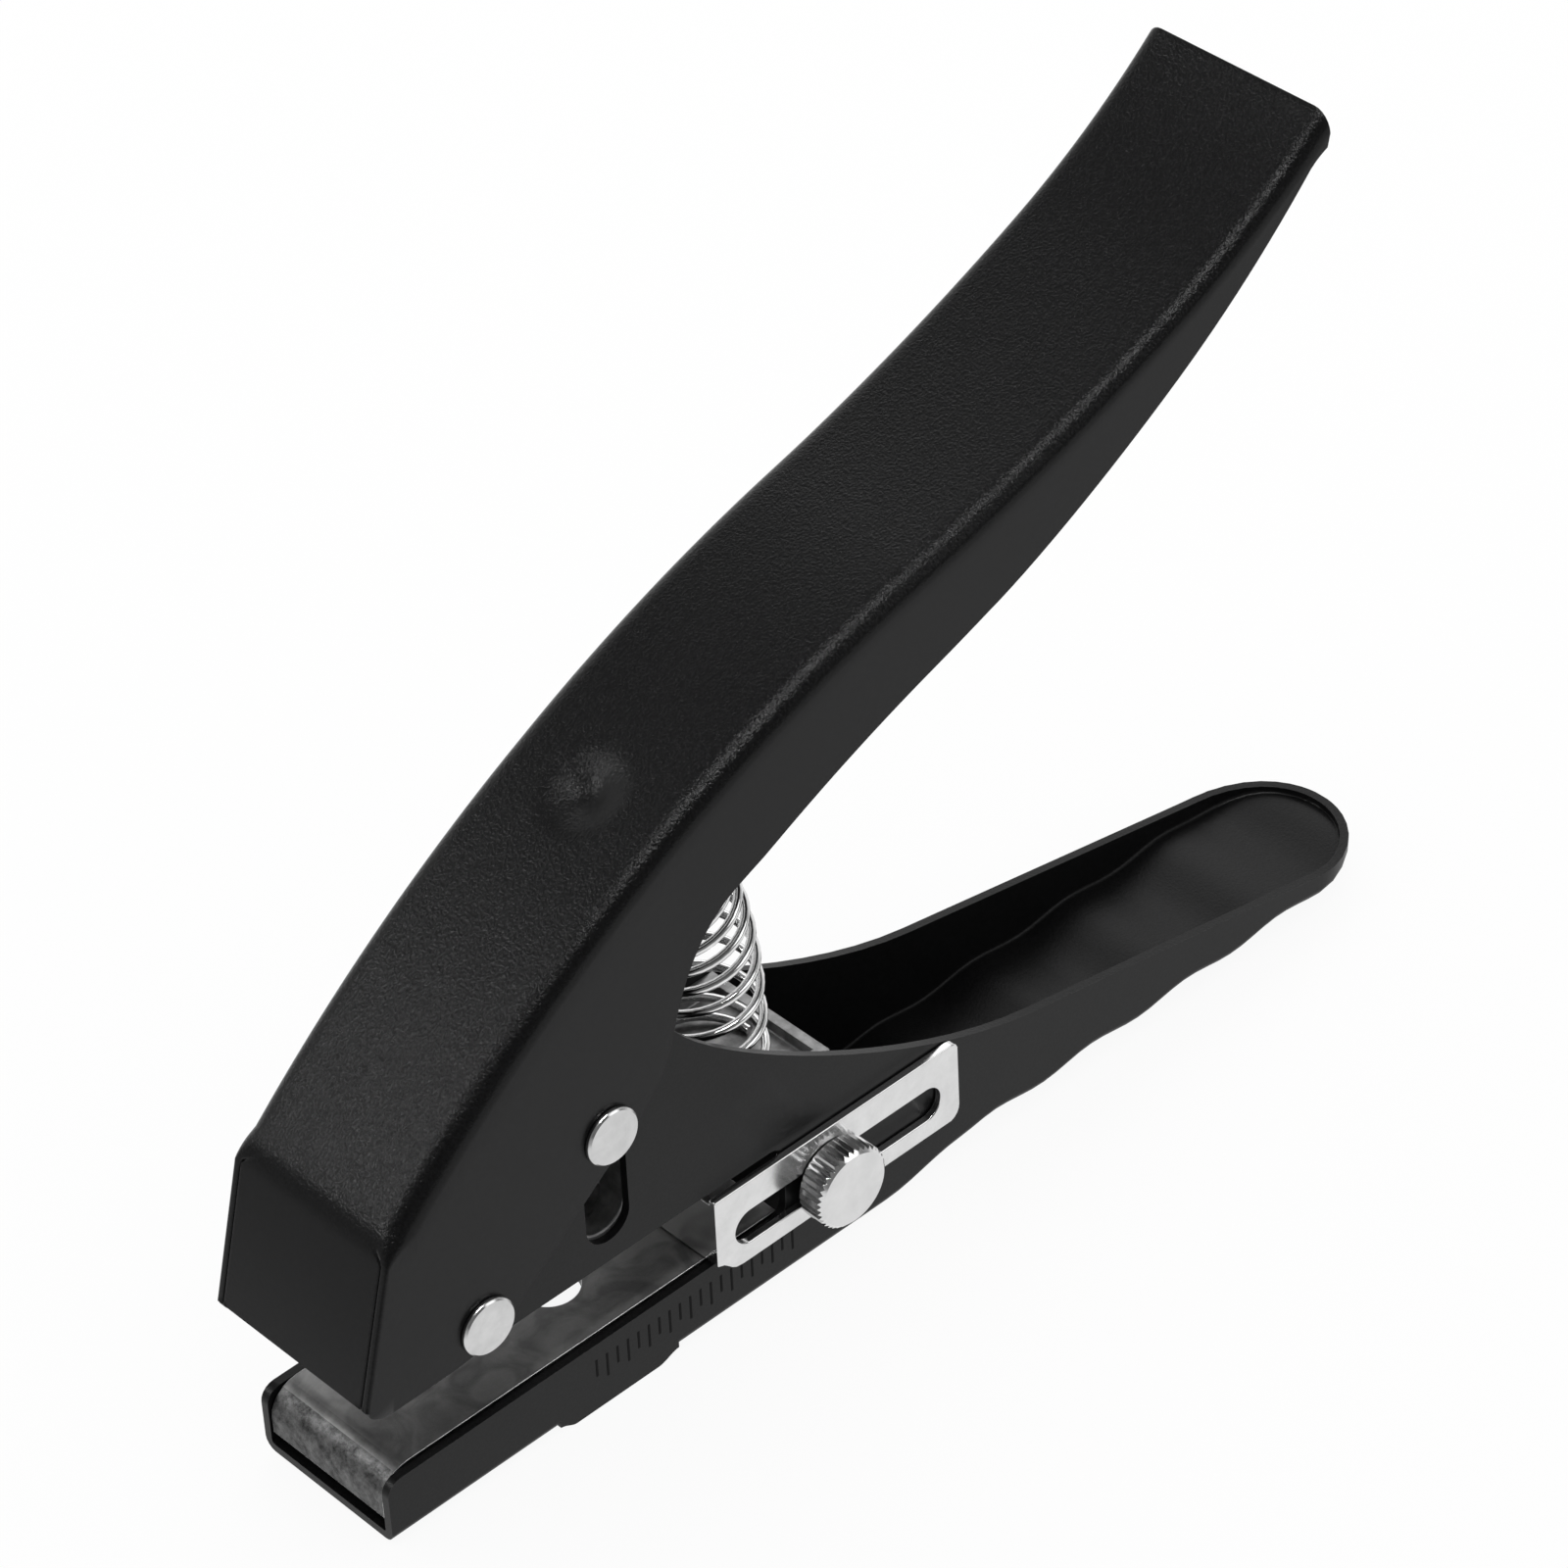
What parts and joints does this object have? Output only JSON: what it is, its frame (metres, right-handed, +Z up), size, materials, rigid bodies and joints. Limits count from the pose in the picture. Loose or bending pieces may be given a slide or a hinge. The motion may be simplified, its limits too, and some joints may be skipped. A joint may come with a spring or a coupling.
{
  "type": "single hole punch",
  "caption": "Hand-held hole punch: a black sheet-steel lever drives a round punch through paper held in a deep throat, with a coil return spring and a sliding depth stop.",
  "frame": {"origin": "on the standing plane, under the middle of the outline seen from above", "axes": "+X from the nose to the tail, +Z up from the feet, -Y towards the side with the depth stop"},
  "size_m": [0.1649, 0.0298, 0.1196],
  "materials": {
    "black_coat": "fine-grained black powder coat, satin",
    "die_metal": "bare mottled grey die casting",
    "casting": "bare grey die casting",
    "steel": "turned steel",
    "nickel": "bright nickel plate",
    "spring_wire": "bright drawn wire"
  },
  "bodies": {
    "frame": {"body_shell": "black_coat", "die_bar": "die_metal", "guide_block": "casting", "stop_nut": "steel", "return_spring": "spring_wire"},
    "fulcrum": {"pivot_rivet": "nickel"},
    "lever": {"top_handle": "black_coat", "drive_pin": "nickel"},
    "punch": {"punch": "steel"},
    "stop": {"depth_stop": "nickel"},
    "screw": {"thumb_screw": "nickel"}
  },
  "joints": [
    {"name": "fulcrum_slide", "type": "slide", "parent": "frame", "child": "fulcrum", "axis": [-1, 0, 0], "range_m": [0, 0.00504]},
    {"name": "lever_swing", "type": "hinge", "parent": "fulcrum", "child": "lever", "pos_m": [-0.06535, 0.00112, 0.0257], "axis": [0, 1, 0], "range_deg": [0, 30], "stiffness_Nm_per_rad": 1.2, "springref_deg": -22.92, "deforming": ["return_spring"]},
    {"name": "punch_drop", "type": "slide", "parent": "frame", "child": "punch", "axis": [0, 0, -1], "range_m": [0, 0.01165]},
    {"name": "stop_slide", "type": "slide", "parent": "frame", "child": "stop", "axis": [1, 0, 0], "range_m": [-0.009, 0.0094]},
    {"name": "screw_turn", "type": "hinge", "parent": "frame", "child": "screw", "pos_m": [-0.01365, 0.00112, 0.0132], "axis": [0, -1, 0], "range_deg": [-360, 360]}
  ],
  "couplings": [
    {"joint": "fulcrum_slide", "follows": "lever_swing", "m_per_rad": 0.0096022},
    {"joint": "punch_drop", "follows": "lever_swing", "m_per_rad": 0.022224}
  ]
}
